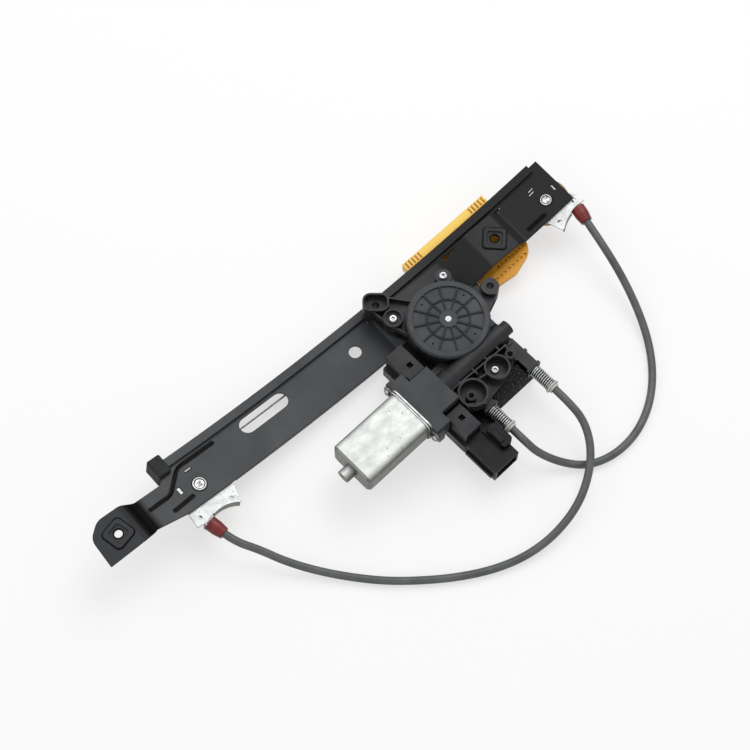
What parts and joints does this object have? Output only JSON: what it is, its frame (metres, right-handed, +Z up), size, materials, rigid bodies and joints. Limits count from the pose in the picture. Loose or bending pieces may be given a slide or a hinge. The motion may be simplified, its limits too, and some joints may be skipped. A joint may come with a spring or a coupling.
{
  "type": "window regulator",
  "caption": "Electric window regulator: curved steel guide rail with glass carrier, cable over end pulleys in sheaths, cable drum and worm gear motor.",
  "frame": {"origin": "middle of the regulator without its conduits, at the level it lies on", "axes": "+X along the rail towards its upper end, +Y across the rail towards the track, +Z up out of the plane the regulator lies on, towards the drive unit's cover"},
  "size_m": [0.5217, 0.2708, 0.0534],
  "materials": {
    "coated_steel": "satin black coating",
    "rubber": "matt",
    "zinc_steel": "zinc plated",
    "bright_steel": "bright",
    "red_plastic": "satin",
    "cable_steel": "stranded",
    "grey_plastic": "satin sheath",
    "black_plastic": "glass filled, matt",
    "graphite": "carbon",
    "ferrite": "sintered",
    "bronze": "sintered",
    "board": "laminate",
    "foam": "matt foam",
    "pale_plastic": "satin",
    "copper": "enamelled",
    "tan_nylon": "satin",
    "yellow_plastic": "satin",
    "clamp_plastic": "satin"
  },
  "bodies": {
    "frame": {"rail": "coated_steel", "end_stop": "rubber", "lower_deflector_plate": "zinc_steel", "upper_deflector_plate": "zinc_steel", "lower_pulley_rivet": "bright_steel", "upper_pulley_rivet": "bright_steel", "lower_ferrule": "red_plastic", "upper_ferrule": "red_plastic", "rail_cable": "cable_steel", "lower_conduit": "grey_plastic", "upper_conduit": "grey_plastic", "drum_housing": "black_plastic", "gear_housing": "black_plastic", "gear_cover": "black_plastic", "drum_pin": "bright_steel", "housing_screws": "bright_steel", "brush_housing": "black_plastic", "brushes": "graphite", "motor_can": "zinc_steel", "motor_magnets": "ferrite", "motor_screws": "bright_steel", "shaft_bushes": "bronze", "control_housing": "black_plastic", "control_board": "board", "plug_socket": "black_plastic", "socket_pins": "bright_steel", "foam_pad": "foam", "lower_conduit_spring": "bright_steel", "upper_conduit_spring": "bright_steel", "lower_conduit_cap": "pale_plastic", "upper_conduit_cap": "pale_plastic", "drum_cables": "cable_steel"},
    "armature": {"armature_shaft": "bright_steel", "worm": "bright_steel", "lamination_stack": "zinc_steel", "armature_windings": "copper", "commutator": "copper"},
    "drum": {"worm_wheel": "tan_nylon", "cable_drum": "pale_plastic", "drum_windings": "cable_steel"},
    "lower_pulley": {"lower_pulley": "tan_nylon"},
    "upper_pulley": {"upper_pulley": "tan_nylon"},
    "carrier": {"carrier": "yellow_plastic", "glass_clamp": "clamp_plastic", "clamp_screw": "bright_steel", "clamp_nut": "bright_steel", "cable_nipples": "bright_steel"}
  },
  "joints": [
    {"name": "armature_spin", "type": "hinge", "parent": "frame", "child": "armature", "pos_m": [0.09202, -0.01266, 0.0384], "axis": [-0.999, -0.0454, 0], "range_deg": [0, 39600]},
    {"name": "drum_spin", "type": "hinge", "parent": "frame", "child": "drum", "pos_m": [0.0903, 0.0253, 0.0264], "axis": [0, 0, 1], "range_deg": [0, 600.5]},
    {"name": "carrier_travel", "type": "hinge", "parent": "frame", "child": "carrier", "pos_m": [0.027, 0.06, 1.012], "axis": [0, 1, 0], "range_deg": [0, 15.51]},
    {"name": "lower_pulley_spin", "type": "hinge", "parent": "frame", "child": "lower_pulley", "pos_m": [-0.16153, 0.057, 0.02326], "axis": [0.1873, 0, 0.9823], "range_deg": [0, 780.5]},
    {"name": "upper_pulley_spin", "type": "hinge", "parent": "frame", "child": "upper_pulley", "pos_m": [0.23817, 0.057, 0.02785], "axis": [-0.2098, 0, 0.9777], "range_deg": [0, 780.5]}
  ],
  "couplings": [
    {"joint": "drum_spin", "follows": "armature_spin", "ratio": 0.015152},
    {"joint": "carrier_travel", "follows": "armature_spin", "ratio": 0.00039138},
    {"joint": "lower_pulley_spin", "follows": "armature_spin", "ratio": 0.019697},
    {"joint": "upper_pulley_spin", "follows": "armature_spin", "ratio": 0.019697}
  ]
}
